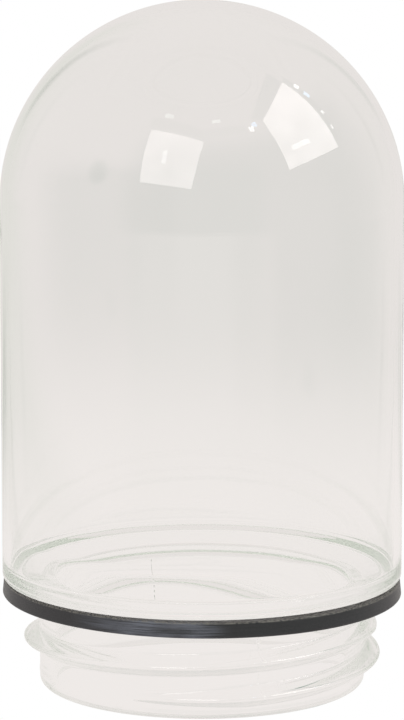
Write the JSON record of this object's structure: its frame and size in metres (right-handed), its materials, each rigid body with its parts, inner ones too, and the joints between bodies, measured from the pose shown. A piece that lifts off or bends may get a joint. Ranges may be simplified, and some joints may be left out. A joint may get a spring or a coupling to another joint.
{
  "type": "lamp glass",
  "caption": "Clear round-topped lamp glass with an open screw neck and round thread, and a black rubber gasket that slides down the neck from its shoulder.",
  "frame": {"origin": "centre of the open mouth, in the plane of its rim", "axes": "+Z along the glass from its mouth to the top of its dome, -Y towards the front, +X to the right"},
  "size_m": [0.0946, 0.0946, 0.1616],
  "materials": {
    "clear_glass": "clear and smooth, faintly green in the thick neck",
    "black_rubber": "satin black, moulded"
  },
  "bodies": {
    "glass": {"glass_dome": "clear_glass"},
    "gasket": {"gasket_ring": "black_rubber"}
  },
  "joints": [
    {"name": "gasket_slide", "type": "slide", "parent": "glass", "child": "gasket", "axis": [0, 0, -1], "range_m": [0, 0.0205]}
  ]
}
